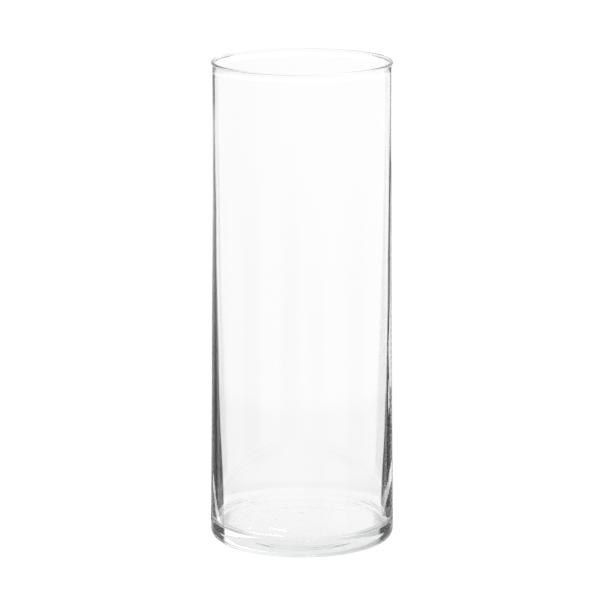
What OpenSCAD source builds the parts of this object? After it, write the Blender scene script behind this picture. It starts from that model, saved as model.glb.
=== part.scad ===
// Clear glass cylinder vase: one piece of machine-made glass, standing on its foot ring.
// +Z is up along the vase's axis, and the origin is the centre of the foot on the table.

/* [Overall] */
// Height from the table to the top of the lip
height = 267; // [220:1:320]
// Outside diameter of the wall just above the foot
foot_d = 102.2; // [101:0.1:110]
// Outside diameter of the wall just under the lip
neck_d = 98; // [97:0.1:98.4]
// Height at which the wall's soft taper bends most
taper_z = 170; // [100:1:200]

/* [Inside] */
// Inside diameter of the straight wall
bore_d = 95; // [93:0.1:95.4]
// Height above the table of the inside floor's rim
floor_z = 8.8; // [6:0.1:12]
// Radius of the corner between the wall and the floor
corner_r = 4; // [2:0.1:5]
// Radius of the low dome in the middle of the floor
dome_r = 40.4; // [36:0.1:41]
// Rise of the dome above the floor's rim
dome_h = 0.5; // [0.1:0.1:1]

/* [Foot] */
// Radius of the flat ring's outer edge, where the heel starts
ring_outer_r = 48.2; // [46:0.1:49]
// Width of the flat ring that the vase stands on
ring_w = 4; // [2:0.1:6]
// Height at which the heel's curve becomes the wall
heel_h = 6.5; // [4:0.1:10]
// Depth of the hollow under the base at the axis
punt_h = 0.8; // [0.2:0.1:3]

/* [Lip] */
// Radius of the fire-polished bead's round section
bead_r = 1.05; // [1:0.05:1.4]
// Height of the flare that leads from the wall out to the bead
flare_h = 1.2; // [0.6:0.1:6]

/* [Hidden] */
$fn = 180;

foot_r = foot_d / 2;
neck_r = neck_d / 2;
bore_r = bore_d / 2;
ring_inner_r = ring_outer_r - ring_w;

// The bead's inner edge is a hair outside the bore, so that nothing narrows the mouth.
bead_clear = 0.02;
bead_centre_r = bore_r + bead_clear + bead_r;
bead_centre_z = height - bead_r;
flare_z = bead_centre_z - flare_h;

// Steps in each curved stretch of the outline.
curve_steps = 10;
wall_steps = 16;
bead_steps = 24;

function mix(a, b, t) = a + (b - a) * t;
function smooth(t) = t * t * (3 - 2 * t);

// Points on a quadratic curve from a to c, drawn towards b, without its first point.
function bend(a, b, c, t) = (1 - t) * (1 - t) * a + 2 * t * (1 - t) * b + t * t * c;
function bend_points(a, b, c, steps) = [for (i = [1 : steps]) bend(a, b, c, i / steps)];

// Points on a circle round centre, from angle a0 to a1.
function arc(centre, r, a0, a1, steps) =
    [for (i = [0 : steps]) centre + r * [cos(mix(a0, a1, i / steps)), sin(mix(a0, a1, i / steps))]];

// Hollow under the base: a smooth dish from the axis out to the ring.
function punt_points() =
    [for (i = [0 : curve_steps])
        let (r = mix(0, ring_inner_r, i / curve_steps))
        [r, punt_h * (1 - smooth(r / ring_inner_r))]];

// Heel: a soft curve from the ring's outer edge up to the wall.
heel_rise = 0.6;
function heel_points() =
    bend_points([ring_outer_r, 0], [foot_r, heel_rise], [foot_r, heel_h], curve_steps);

// Outside of the wall: a soft taper, widest at the foot.
function wall_outside_points() =
    bend_points([foot_r, heel_h], [neck_r, taper_z], [neck_r, flare_z], wall_steps);

// Lip: the wall flares out, runs round the bead and comes back to the bore.
function flare_points() =
    [for (i = [1 : curve_steps - 1])
        let (t = i / curve_steps)
        [mix(neck_r, bead_centre_r + bead_r, smooth(t)), mix(flare_z, bead_centre_z, t)]];
function lip_points() =
    concat(flare_points(), arc([bead_centre_r, bead_centre_z], bead_r, 0, 180, bead_steps));

// Inside corner, from the foot of the straight wall round to the floor.
corner_centre = [bore_r - corner_r, floor_z + corner_r];
function corner_points() = arc(corner_centre, corner_r, 0, -90, curve_steps);

// Floor: a flat rim round a low dome, highest at the axis.
function floor_points() =
    [for (i = [0 : curve_steps])
        let (r = mix(dome_r, 0, i / curve_steps))
        [r, floor_z + dome_h * (1 - smooth(r / dome_r))]];

function vase_outline() =
    concat(
        punt_points(),
        [[ring_outer_r, 0]],
        heel_points(),
        wall_outside_points(),
        lip_points(),
        [[bore_r, bead_centre_z - bead_r]],
        corner_points(),
        floor_points()
    );

module vase_body() {
    color([0.90, 0.94, 0.93, 0.35])
        rotate_extrude() polygon(vase_outline());
}

vase_body();
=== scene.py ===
"""Clear glass cylinder vase on a white light table, in the CAD part's own frame. Blender's lengths are
in metres. The vase's outline and surface detail are in millimetres, scaled where the mesh is made."""

import math

import bpy
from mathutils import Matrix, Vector, noise


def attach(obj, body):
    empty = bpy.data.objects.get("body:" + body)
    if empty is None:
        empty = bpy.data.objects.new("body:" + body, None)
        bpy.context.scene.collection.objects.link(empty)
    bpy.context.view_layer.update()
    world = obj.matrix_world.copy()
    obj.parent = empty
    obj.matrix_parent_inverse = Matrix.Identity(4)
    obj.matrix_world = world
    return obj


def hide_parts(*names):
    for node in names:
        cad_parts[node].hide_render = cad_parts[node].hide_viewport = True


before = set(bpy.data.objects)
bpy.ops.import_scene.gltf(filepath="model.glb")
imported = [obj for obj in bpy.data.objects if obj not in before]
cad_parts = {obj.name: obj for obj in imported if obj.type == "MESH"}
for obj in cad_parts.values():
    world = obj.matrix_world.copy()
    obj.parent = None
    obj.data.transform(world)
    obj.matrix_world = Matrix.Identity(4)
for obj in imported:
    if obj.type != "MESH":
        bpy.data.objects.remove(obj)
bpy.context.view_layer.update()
MM = 0.001
scene = bpy.context.scene

# ---------------------------------------------------------------------------------------------
# Camera

PITCH = 12.64
YAW = 0.034
LENS = 205.8
CAMERA_AT = (0.0, -1.848, 0.548)

cam_data = bpy.data.cameras.new("camera")
cam_data.sensor_width = 36.0
cam_data.lens = LENS
cam_data.clip_start = 0.05
cam_data.clip_end = 60.0
camera = bpy.data.objects.new("camera", cam_data)
camera.location = CAMERA_AT
camera.rotation_euler = (math.radians(90.0 - PITCH), 0.0, math.radians(YAW))
scene.collection.objects.link(camera)
scene.camera = camera

# ---------------------------------------------------------------------------------------------
# Render looks: plain colours and enough bounces for light to find its way through thick glass

scene.view_settings.view_transform = "Standard"
scene.view_settings.look = "None"
scene.cycles.use_denoising = True
scene.cycles.max_bounces = 96
scene.cycles.transmission_bounces = 96
scene.cycles.glossy_bounces = 96
scene.cycles.diffuse_bounces = 3
scene.cycles.blur_glossy = 0.0
scene.cycles.sample_clamp_indirect = 4.0

# ---------------------------------------------------------------------------------------------
# Helpers


def new_mesh_object(name, verts, faces, smooth_shaded=True):
    """A mesh object in the scene, from its corners in metres and its faces."""
    mesh = bpy.data.meshes.new(name)
    mesh.from_pydata(verts, [], faces)
    mesh.update()
    if smooth_shaded:
        mesh.polygons.foreach_set("use_smooth", [True] * len(mesh.polygons))
    obj = bpy.data.objects.new(name, mesh)
    scene.collection.objects.link(obj)
    return obj


def new_material(name):
    """An empty node material, with its nodes and its links."""
    mat = bpy.data.materials.new(name)
    mat.use_nodes = True
    nodes = mat.node_tree.nodes
    nodes.clear()
    return mat, nodes, mat.node_tree.links


def mix(a, b, t):
    return a + (b - a) * t


def clamp(t):
    return min(1.0, max(0.0, t))


def smooth(t):
    return t * t * (3.0 - 2.0 * t)


def bump(t):
    """A soft hill between t = 0 and t = 1, and 0 everywhere else."""
    return smooth(max(0.0, 1.0 - abs(2.0 * t - 1.0)))


def dome(t):
    """Height of a low dome from its centre (t = 0) to its rim (t = 1), as in the CAD part."""
    return 1.0 - smooth(t)


def bend(a, b, c, n):
    """n points of a quadratic curve from a to c drawn towards b, without its first point."""
    return [
        tuple((1 - t) ** 2 * a[k] + 2 * t * (1 - t) * b[k] + t * t * c[k] for k in (0, 1))
        for t in (i / n for i in range(1, n + 1))
    ]


def arc(centre, r, a0, a1, n):
    """n points on a circle from angle a0 to a1 in degrees, without its first point."""
    angles = [math.radians(mix(a0, a1, i / n)) for i in range(1, n + 1)]
    return [(centre[0] + r * math.cos(a), centre[1] + r * math.sin(a)) for a in angles]


# ---------------------------------------------------------------------------------------------
# The glass outline, which is the CAD part's own in finer steps, in millimetres

HEIGHT = 267.0
BEAD_R, BEAD_CLEAR, FLARE_H = 1.05, 0.02, 1.2
BORE_R = 47.5
NECK_R, TAPER_Z = 49.0, 170.0
FOOT_R, HEEL_H, HEEL_RISE = 51.1, 6.5, 0.6
RING_OUT, RING_IN = 48.2, 44.2
PUNT = 0.8
FLOOR_Z, CORNER_R = 8.8, 4.0
DOME_R, DOME_H = 40.4, 0.5

# Steps in each stretch of the outline, and round the axis
UNDER_STEPS, RING_STEPS, HEEL_STEPS, WALL_STEPS = 60, 14, 26, 44
FLARE_STEPS, BEAD_STEPS, CORNER_STEPS, RIM_STEPS, DOME_STEPS = 8, 24, 20, 14, 72
SEGMENTS = 768


def under_points():
    """The hollow underside, from the axis out to the foot ring."""
    radii = [RING_IN * i / UNDER_STEPS for i in range(UNDER_STEPS + 1)]
    return [(r, PUNT * dome(r / RING_IN)) for r in radii]


def flare_points(start_z, end_r, end_z):
    """From the top of the wall out to the lip's bead."""
    steps = [i / FLARE_STEPS for i in range(1, FLARE_STEPS + 1)]
    return [(mix(NECK_R, end_r, smooth(t)), mix(start_z, end_z, t)) for t in steps]


def floor_points(start_r):
    """A flat rim, then the low dome up to the axis."""
    rim = [(mix(start_r, DOME_R, i / RIM_STEPS), FLOOR_Z) for i in range(1, RIM_STEPS + 1)]
    radii = [DOME_R * (1 - i / DOME_STEPS) for i in range(1, DOME_STEPS + 1)]
    return rim + [(r, FLOOR_Z + DOME_H * dome(r / DOME_R)) for r in radii]


def glass_outline():
    """Points (radius, height) from the axis under the base, round the outside, over the lip and down
    inside to the axis on the floor, and each point's zone, which says which surface detail it takes."""
    bead = (BORE_R + BEAD_CLEAR + BEAD_R, HEIGHT - BEAD_R)
    flare_z = bead[1] - FLARE_H
    top = bead[1] - BEAD_R
    corner = (BORE_R - CORNER_R, FLOOR_Z + CORNER_R)
    foot = (FOOT_R, HEEL_H)
    stretches = (
        ("under", under_points()),
        ("ring", [(mix(RING_IN, RING_OUT, i / RING_STEPS), 0.0) for i in range(1, RING_STEPS + 1)]),
        ("outside", bend((RING_OUT, 0.0), (FOOT_R, HEEL_RISE), foot, HEEL_STEPS)),
        ("outside", bend(foot, (NECK_R, TAPER_Z), (NECK_R, flare_z), WALL_STEPS)),
        ("lip", flare_points(flare_z, bead[0] + BEAD_R, bead[1])),
        ("lip", arc(bead, BEAD_R, 0.0, 180.0, BEAD_STEPS)),
        ("inside", [(BORE_R, mix(top, corner[1], i / WALL_STEPS)) for i in range(WALL_STEPS + 1)]),
        ("floor", arc(corner, CORNER_R, 0.0, -90.0, CORNER_STEPS)),
        ("floor", floor_points(corner[0])),
    )
    outline = [point for zone, points in stretches for point in points]
    zones = [zone for zone, points in stretches for point in points]
    return outline, zones


# ---------------------------------------------------------------------------------------------
# Surface detail that a mould and cooling leave in the glass, in millimetres

KNURLS, KNURL_DEPTH = 128, 0.10
UNDER_WOBBLE = 0.05
# The wall's waves: how deep, how far the outside is drawn in, and where they fade out
WAVE_DEPTH, WAVE_INSET = 0.05, 0.03
WAVE_TOP, WAVE_FADE = 262.0, 20.0
OUTSIDE_WAVE_START, INSIDE_WAVE_START = 4.0, 14.0
# The floor's ripples and marks fade out over this width beside the corner
FLOOR_FADE = 5.0
# The seam round the floor: its inner radius, width, depth and the angle where it is sharpest
CREASE_R, CREASE_W, CREASE_DEPTH, CREASE_AT = 40.1, 1.6, 0.13, 40.0
# Small marks on the floor: x, y, size and rise. A rise below 0 is a pit.
CHILL_MARKS = (
    (-35.5, -17.0, 1.2, 0.14), (-33.0, -15.5, 1.1, -0.12), (-35.0, -6.0, 1.0, 0.12),
    (-29.5, -6.5, 1.1, -0.12), (-31.0, 4.0, 1.1, 0.13), (-28.0, 5.0, 0.9, -0.10),
    (-30.0, 16.0, 1.1, 0.13), (-32.0, 22.0, 1.0, 0.12), (-17.5, -23.0, 1.2, 0.14),
    (-15.0, -4.0, 1.1, 0.13), (-24.5, -2.0, 0.9, -0.09), (-20.0, -16.0, 0.9, 0.09),
)
# A mark ends at this squared distance from its middle, in sizes
MARK_END = 9.0


def wobble(x, y, z, depth):
    """Smooth noise, no deeper than about depth either way."""
    return noise.noise(Vector((x, y, z))) * depth


def floor_ripple(x, y, r):
    """Chill marks: the floor's skin froze in uneven, mostly circular ripples, deepest to -X and -Y."""
    around = math.atan2(y, x)
    swirl = wobble(r * 0.17, around * 1.9, 3.1, 0.05)
    fine = wobble(r * 0.55, around * 3.0, 8.4, 0.005)
    blob = wobble(x * 0.11, y * 0.11, 5.7, 0.08)
    side = 0.45 + 0.75 * smooth(clamp(0.5 - (x + 0.6 * y) / 70.0))
    return (swirl + fine + blob) * side


def chill_marks(x, y):
    """How far the small marks raise the floor here."""
    total = 0.0
    for mark_x, mark_y, size, rise in CHILL_MARKS:
        q = ((x - mark_x) ** 2 + (y - mark_y) ** 2) / (size * size)
        if q < MARK_END:
            total += rise * math.exp(-q)
    return total


def crease(r, angle):
    """The seam that the plunger's rim pressed round the floor, sharpest at the back right."""
    sharp = 0.25 + 0.75 * smooth(0.5 + 0.5 * math.cos(angle - math.radians(CREASE_AT)))
    return -CREASE_DEPTH * bump((r - CREASE_R) / CREASE_W) * sharp


def wall_wave(x, y, z, seed, start):
    """Long, very slight upright waves that the mould leaves in a wall, and how much of them the wall
    has at this height: none at its two ends."""
    fade = clamp((z - start) / WAVE_FADE) * clamp((WAVE_TOP - z) / WAVE_FADE)
    return wobble(x * 0.05 + seed, y * 0.05, z * 0.008, WAVE_DEPTH), fade


def detailed(r, z, zone, angle):
    """Where a point of the outline goes at this angle round the axis."""
    x, y = r * math.cos(angle), r * math.sin(angle)
    if zone == "under":
        rings = wobble(r * 0.55, 0.8 * x / 40.0, 0.8 * y / 40.0 + 12.0, UNDER_WOBBLE)
        z += (rings + UNDER_WOBBLE) * bump(r / RING_IN)
    elif zone == "ring":
        tick = 0.5 - 0.5 * math.cos(KNURLS * angle)
        z += KNURL_DEPTH * tick * bump((r - RING_IN) / (RING_OUT - RING_IN))
    elif zone == "outside":
        wave, fade = wall_wave(x, y, z, 1.0, OUTSIDE_WAVE_START)
        r += (wave - WAVE_INSET) * fade
    elif zone == "inside":
        wave, fade = wall_wave(x, y, z, 7.0, INSIDE_WAVE_START)
        r += wave * fade
    elif zone == "floor":
        edge = smooth(clamp((BORE_R - CORNER_R - r) / FLOOR_FADE))
        z += (floor_ripple(x, y, r) + chill_marks(x, y)) * edge + crease(r, angle)
    return r * math.cos(angle), r * math.sin(angle), z


def build_glass(name):
    """Turn the outline round the axis, with its surface detail, into one closed mesh."""
    outline, zones = glass_outline()
    verts = [(0.0, 0.0, outline[0][1] * MM)]
    for (r, z), zone in zip(outline[1:-1], zones[1:-1]):
        for k in range(SEGMENTS):
            x, y, height = detailed(r, z, zone, 2 * math.pi * k / SEGMENTS)
            verts.append((x * MM, y * MM, height * MM))
    verts.append((0.0, 0.0, outline[-1][1] * MM))
    rings = len(outline) - 2
    last = 1 + (rings - 1) * SEGMENTS
    top = len(verts) - 1
    pairs = [(k, (k + 1) % SEGMENTS) for k in range(SEGMENTS)]
    faces = [(0, 1 + k2, 1 + k) for k, k2 in pairs]
    for a in range(1, last, SEGMENTS):
        b = a + SEGMENTS
        faces += [(a + k, a + k2, b + k2, b + k) for k, k2 in pairs]
    faces += [(last + k, last + k2, top) for k, k2 in pairs]
    return new_mesh_object(name, verts, faces)


def glass_material():
    """Clear, smooth glass with a faint, even absorption."""
    mat, nodes, links = new_material("clear_glass")
    out = nodes.new("ShaderNodeOutputMaterial")
    bsdf = nodes.new("ShaderNodeBsdfPrincipled")
    bsdf.inputs["Base Color"].default_value = (1.0, 1.0, 1.0, 1.0)
    bsdf.inputs["Transmission Weight"].default_value = 1.0
    bsdf.inputs["IOR"].default_value = 1.52
    bsdf.inputs["Roughness"].default_value = 0.0
    links.new(bsdf.outputs["BSDF"], out.inputs["Surface"])
    absorb = nodes.new("ShaderNodeVolumeAbsorption")
    absorb.inputs["Color"].default_value = (0.778, 0.795, 0.791, 1.0)
    absorb.inputs["Density"].default_value = 6.0
    links.new(absorb.outputs["Volume"], out.inputs["Volume"])
    return mat


vase = build_glass("vase_glass")
vase.data.materials.append(glass_material())
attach(vase, "root")
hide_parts("vase_body")

# ---------------------------------------------------------------------------------------------
# Studio: a white table in a pale room, and drapes and lamps hung 54 to 60 m off. The camera doesn't
# see those. Each is seen either through the glass or mirrored in its outside. The glass bends its
# edges' light sideways into them, which draws its outline.

WHITE = 1.03
OVERHEAD = 0.92
TABLE_R = 40.0
# Height of the middle of the spheres that the drapes hang on: about the middle of the vase
DRAPE_Z = 0.13
# Steps between two points of a drape's row, and the width in degrees of a drape's soft edge
DRAPE_STEPS = 6
SOFT_EDGE = 1.5
# The toned disc under the vase, which carries the vase's painted shadow: how far it lies below the table
# top, its tone at the axis, how much brighter it gets for each metre towards the back (painted shade,
# darker in front), and how far from the axis that goes on
DISC_DROP, DISC_TONE, DISC_SLOPE, DISC_SPAN = 0.0002, 0.905, 0.9, 0.05
# The disc's outer radius beside the foot, where its painted contact shadow also makes it darker
DISC_SIDE_R = 0.063
# Beside the foot starts at this cosine of the angle round the axis, and the painted contact shadow there
# ends at this sine towards the back. Each fades over the number next to it.
SIDE_FROM, SIDE_FADE, BACK_END, BACK_FADE = 0.62, 0.22, 0.45, 0.35


def emission_material(name, strength):
    """A plain white light."""
    mat, nodes, links = new_material(name)
    out = nodes.new("ShaderNodeOutputMaterial")
    emit = nodes.new("ShaderNodeEmission")
    emit.inputs["Color"].default_value = (1.0, 1.0, 1.0, 1.0)
    emit.inputs["Strength"].default_value = strength
    links.new(emit.outputs["Emission"], out.inputs["Surface"])
    return mat


def toned_material():
    """A light that reads how bright each point of its mesh is."""
    mat, nodes, links = new_material("drape")
    out = nodes.new("ShaderNodeOutputMaterial")
    emit = nodes.new("ShaderNodeEmission")
    tone = nodes.new("ShaderNodeAttribute")
    tone.attribute_name = "tone"
    links.new(tone.outputs["Fac"], emit.inputs["Strength"])
    links.new(emit.outputs["Emission"], out.inputs["Surface"])
    return mat


def toned_mesh(name, verts, faces, tones, mat):
    """A mesh with a tone for each of its corners."""
    obj = new_mesh_object(name, verts, faces, smooth_shaded=False)
    layer = obj.data.attributes.new("tone", "FLOAT", "POINT")
    layer.data.foreach_set("value", tones)
    obj.data.materials.append(mat)
    return obj


def circle(n):
    """The angles of n points round the axis."""
    return [2 * math.pi * k / n for k in range(n)]


def table_top(n=96):
    """The table that the camera sees. The glass sees the toned disc, with its painted shadow, and the
    room instead.
    """
    verts = [(0.0, 0.0, 0.0)] + [(TABLE_R * math.cos(a), TABLE_R * math.sin(a), 0.0) for a in circle(n)]
    faces = [(0, 1 + k, 1 + (k + 1) % n) for k in range(n)]
    top = new_mesh_object("table_top", verts, faces, smooth_shaded=False)
    top.data.materials.append(emission_material("white_table", WHITE))
    top.visible_transmission = False
    top.visible_glossy = False


def painted_shadow_disc(n=96):
    """The patch of table that the base's glass gathers, glowing with the vase's shadow painted in:
    painted shade a little dimmer in front, and a darker painted contact shadow beside the foot. The table
    top hides it from the camera."""
    # radius, and how much of the disc's tone the painted contact shadow leaves there beside the foot
    rings = (
        (0.0, 1.0), (0.02, 1.0), (0.0405, 1.0), (0.043, 0.55), (0.0505, 0.50), (0.054, 0.38),
        (0.088, 0.38),
    )
    verts, tones = [], []
    for j, (r, left) in enumerate(rings):
        for angle in circle(n):
            beside = smooth(clamp((abs(math.cos(angle)) - SIDE_FROM) / SIDE_FADE))
            reach = mix(r, DISC_SIDE_R, beside) if j == len(rings) - 1 else r
            x, y = reach * math.cos(angle), reach * math.sin(angle)
            verts.append((x, y, -DISC_DROP))
            # painted contact shadow beside the foot, fading out towards the back
            foot_shadow = beside * smooth(clamp((BACK_END - math.sin(angle)) / BACK_FADE))
            # painted shade: the disc's tone darker in front, brighter towards the back
            tone = DISC_TONE + DISC_SLOPE * max(-DISC_SPAN, min(DISC_SPAN, y))
            tones.append(tone * mix(1.0, left, foot_shadow))
    faces = [
        (j * n + k, (j + 1) * n + k, (j + 1) * n + (k + 1) % n, j * n + (k + 1) % n)
        for j in range(len(rings) - 1) for k in range(n)
    ]
    near = toned_mesh("table_near_painted_shadow", verts, faces, tones, toned_material())


def surround():
    """A pale room: white low down and all round, a little greyer overhead."""
    world = bpy.data.worlds.new("surround")
    scene.world = world
    world.use_nodes = True
    nodes, links = world.node_tree.nodes, world.node_tree.links
    back = nodes["Background"]
    back.inputs["Color"].default_value = (1.0, 1.0, 1.0, 1.0)
    coord = nodes.new("ShaderNodeTexCoord")
    split = nodes.new("ShaderNodeSeparateXYZ")
    fade = nodes.new("ShaderNodeMapRange")
    fade.inputs["From Min"].default_value = 0.0
    fade.inputs["From Max"].default_value = 0.5
    fade.inputs["To Min"].default_value = WHITE
    fade.inputs["To Max"].default_value = OVERHEAD
    links.new(coord.outputs["Generated"], split.inputs["Vector"])
    links.new(split.outputs["Z"], fade.inputs["Value"])
    links.new(fade.outputs["Result"], back.inputs["Strength"])


def on_sphere(az, el, radius):
    """A point of a big sphere round the vase, with azimuth 0 along +Y and 90 along -X, in degrees."""
    az, el = math.radians(az), math.radians(el)
    return (
        -radius * math.cos(el) * math.sin(az),
        radius * math.cos(el) * math.cos(az),
        DRAPE_Z + radius * math.sin(el),
    )


def drape(name, rows, mat, radius, through=True):
    """A patch of a big sphere round the vase. rows run from the bottom up, and each is a list of
    (azimuth, elevation, tone). Tones run smoothly between the points. It's seen through the glass, or
    else mirrored in the outside of the glass."""
    verts, faces, tones = [], [], []
    for row in rows:
        for i in range(len(row) - 1):
            for k in range(DRAPE_STEPS + (i == len(row) - 2)):
                az, el, tone = (mix(row[i][c], row[i + 1][c], k / DRAPE_STEPS) for c in range(3))
                verts.append(on_sphere(az, el, radius))
                tones.append(tone)
    across = len(verts) // len(rows)
    for j in range(len(rows) - 1):
        for i in range(across - 1):
            a = j * across + i
            faces.append((a, a + 1, a + across + 1, a + across))
    obj = toned_mesh(name, verts, faces, tones, mat)
    obj.visible_camera = False
    obj.visible_shadow = False
    obj.visible_diffuse = False
    obj.visible_transmission = through
    obj.visible_glossy = not through


def front_row(el, left, right, tones):
    """One elevation of the front view's cyclorama. left and right are (inner edge, outer edge, tone) of
    the dark drapes, and tones runs across the white between them from its left edge to its right edge."""
    columns = (
        (left[1] + SOFT_EDGE, WHITE),
        (left[1], left[2]),
        (left[0], left[2]),
        (left[0] - 0.6, tones[0]),
        (7.0, tones[1]),
        (0.0, tones[2]),
        (-7.0, tones[3]),
        (-right[0] + 0.6, tones[4]),
        (-right[0], right[2]),
        (-right[1], right[2]),
        (-right[1] - SOFT_EDGE, WHITE),
    )
    return [(az, el, tone) for az, tone in columns]


def cyclorama(mat):
    """Behind the vase in the front view, and seen through the glass: white, with dark to both sides."""
    high = (0.78, 0.91, 0.98, 0.965, 0.91)
    middle = (0.82, 0.92, 0.975, 0.955, 0.88)
    low = (0.84, 0.87, 0.94, 0.90, 0.89)
    lowest = (0.83, 0.83, 0.90, 0.86, 0.85)
    rows = [
        front_row(-20.4, (11.6, 29.0, 0.05), (12.4, 28.0, 0.05), lowest),
        front_row(-19.2, (11.6, 43.0, 0.05), (12.4, 41.0, 0.05), lowest),
        front_row(-18.4, (11.6, 56.0, 0.05), (12.4, 54.0, 0.05), lowest),
        front_row(-17.0, (12.1, 55.0, 0.05), (13.0, 52.0, 0.05), lowest),
        front_row(-16.6, (12.6, 52.5, 0.05), (13.8, 49.0, 0.05), low),
        front_row(-16.3, (13.2, 50.0, 0.05), (14.7, 46.0, 0.05), low),
        front_row(-16.0, (14.1, 48.0, 0.05), (16.0, 44.5, 0.05), low),
        front_row(-15.4, (15.0, 45.0, 0.05), (17.2, 42.0, 0.05), low),
        front_row(-15.0, (15.6, 43.5, 0.06), (26.0, 38.5, 0.03), middle),
        front_row(-14.5, (15.3, 42.0, 0.08), (29.0, 35.5, 0.03), middle),
        front_row(-13.6, (17.0, 36.5, 0.12), (21.0, 31.5, 0.05), middle),
        front_row(-12.7, (18.5, 32.0, 0.16), (19.5, 30.0, 0.08), middle),
        front_row(-11.7, (16.5, 31.0, 0.18), (19.0, 26.5, 0.05), high),
        front_row(-10.8, (16.0, 27.0, 0.20), (16.0, 23.5, 0.05), high),
        front_row(-10.0, (16.0, 26.0, 0.45), (16.0, 21.0, 0.08), high),
        front_row(-9.3, (12.5, 26.0, 0.22), (16.5, 21.0, 0.22), high),
        front_row(-8.4, (12.5, 26.0, 0.25), (16.5, 21.0, 0.25), high),
        front_row(-7.6, (12.5, 22.0, 0.90), (16.5, 20.5, 0.90), high),
    ]
    drape("cyclorama", rows, mat, 60.0)


def flags(mat):
    """High up behind the vase, seen through the glass and once more mirrored in it: dark to the sides,
    which shows in the thick corners of the base, and between them a light that greys to one side."""
    columns = (
        (-88.0, WHITE), (-70.0, 0.07), (-50.0, 0.07), (-46.0, 1.40), (-5.0, 1.0),
        (8.0, 0.86), (46.0, 0.60), (50.0, 0.07), (70.0, 0.07), (88.0, WHITE),
    )
    rows = [[(az, el, tone) for az, tone in columns] for el in (5.0, 26.0)]
    drape("flags", rows, mat, 60.0)
    drape("mirrored_flags", rows, mat, 60.0, through=False)


def glint_lamp(mat):
    """A lamp high behind the vase, which the edges of the floor's marks catch."""
    rows = [[(az, el, 6.0) for az in (2.4, 8.5)] for el in (25.6, 29.0)]
    drape("glint_lamp", rows, mat, 58.0)


def mirrored_row(el, start, end, tone, side):
    """One elevation of a dark card with soft edges. side is 1 for the view's left, -1 for its right."""
    profile = ((start - SOFT_EDGE, WHITE), (start, tone), (end, tone), (end + SOFT_EDGE, WHITE))
    return [(side * az, el, shade) for az, shade in profile]


def mirrored_cards(mat):
    """A dark card each side, mirrored in the outside of the glass. Each row of a card is its elevation,
    its inner edge, its outer edge and its tone."""
    left = (
        (-20.0, 13.0, 66.0, 0.05), (-16.0, 13.0, 64.0, 0.05), (-15.2, 13.0, 61.0, 0.05),
        (-14.6, 13.0, 55.5, 0.05), (-14.3, 13.0, 52.5, 0.05), (-13.9, 13.0, 48.5, 0.05),
        (-13.1, 13.0, 44.0, 0.08), (-12.4, 13.0, 40.0, 0.15), (-11.6, 17.0, 35.0, 0.20),
        (-10.8, 17.0, 34.0, 0.25), (-10.2, 15.0, 28.5, 0.25), (-9.6, 14.0, 28.0, 0.45),
        (-9.2, 13.0, 30.0, 0.20), (-8.4, 13.0, 30.0, 0.20), (-7.6, 15.0, 24.0, 0.90),
    )
    right = (
        (-20.0, 14.0, 64.0, 0.05), (-16.0, 14.0, 62.0, 0.05), (-15.2, 14.0, 58.5, 0.05),
        (-14.6, 14.0, 52.0, 0.05), (-14.3, 15.0, 50.5, 0.05), (-13.9, 18.0, 46.8, 0.05),
        (-13.6, 34.0, 43.5, 0.05), (-13.1, 36.5, 40.5, 0.05), (-12.4, 26.0, 36.0, 0.05),
        (-11.6, 25.0, 34.0, 0.10), (-10.8, 22.5, 30.0, 0.08), (-10.2, 17.0, 27.7, 0.12),
        (-9.6, 17.0, 24.0, 0.10), (-8.4, 17.0, 24.0, 0.20), (-7.6, 18.0, 22.0, 0.90),
    )
    for side, name, card in ((1, "mirrored_left", left), (-1, "mirrored_right", right)):
        drape(name, [mirrored_row(*row, side) for row in card], mat, 59.0, through=False)


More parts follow.
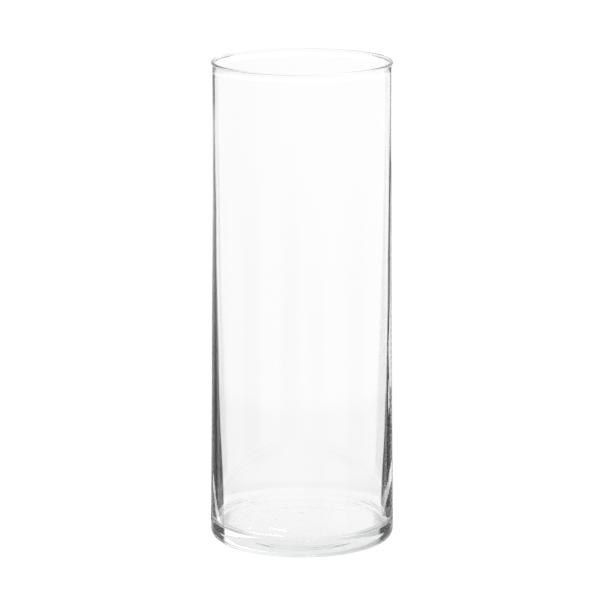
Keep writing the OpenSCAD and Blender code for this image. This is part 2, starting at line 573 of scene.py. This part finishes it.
def mirrored_lights(mat):
    """Thin strips of light in front of the dark cards, mirrored in the outside of the glass."""
    strip = [
        [(-33.0, -14.25, 1.0), (-35.0, -14.25, 1.0)],
        [(-31.0, -14.05, 3.0), (-36.5, -14.05, 3.0)],
        [(-30.0, -13.85, 2.6), (-36.5, -13.85, 2.6)],
        [(-27.0, -13.65, 1.4), (-36.0, -13.65, 1.4)],
    ]
    drape("mirrored_strip", strip, mat, 58.0, through=False)
    # azimuth, elevation of its middle, half its height, tone
    ribbons = {
        "mirrored_ribbon_left": (
            (26.0, -15.45, 0.14, 1.5), (31.0, -15.48, 0.14, 1.9), (34.0, -15.56, 0.14, 2.0),
            (40.0, -15.68, 0.12, 2.6), (46.0, -15.75, 0.10, 3.6), (50.0, -15.80, 0.10, 3.2),
            (60.0, -15.85, 0.10, 1.2),
        ),
        "mirrored_ribbon_right": (
            (-20.0, -15.30, 0.16, 1.6), (-33.0, -15.32, 0.14, 2.4), (-38.0, -15.38, 0.12, 2.4),
            (-45.0, -15.40, 0.10, 2.6), (-51.0, -15.43, 0.12, 2.2), (-58.0, -15.43, 0.12, 1.4),
            (-68.0, -15.43, 0.12, 1.0),
        ),
    }
    for name, points in ribbons.items():
        rows = [[(az, el + way * half, tone) for az, el, half, tone in points] for way in (-1, 1)]
        drape(name, rows, mat, 58.0, through=False)


def side_rows(centre, side, low, high, dark):
    """A plain dark patch with soft edges to one side of a view's centre."""
    profile = ((12.0, WHITE), (19.0, dark), (36.0, dark), (50.0, WHITE))
    fades = ((0.0, WHITE), (0.25, dark), (0.75, dark), (1.0, WHITE))
    rows = []
    for t, tone in fades:
        el = mix(low, high, t)
        rows.append([(centre + side * az, el, max(shade, tone)) for az, shade in profile])
    return rows


def view_drapes(mat):
    """Dark either side of the two level views, the low back view and the high view. Each has its
    centre's azimuth, its lowest and highest elevation, its tone and its distance."""
    for name, centre, low, high, dark, radius in (
        ("level_front", 0.0, -7.6, 4.0, 0.15, 57.0),
        ("level_side", 90.0, -6.6, 4.0, 0.15, 56.0),
        ("low_back", 225.0, -22.0, -10.5, 0.70, 55.0),
        ("high_corner", 45.0, -34.0, -22.0, 0.15, 54.0),
    ):
        for side, suffix in ((1, "left"), (-1, "right")):
            drape("%s_%s" % (name, suffix), side_rows(centre, side, low, high, dark), mat, radius)


def studio():
    """Everything round the vase."""
    table_top()
    painted_shadow_disc()
    surround()
    mat = toned_material()
    for part in (cyclorama, flags, glint_lamp, mirrored_cards, mirrored_lights, view_drapes):
        part(mat)


studio()
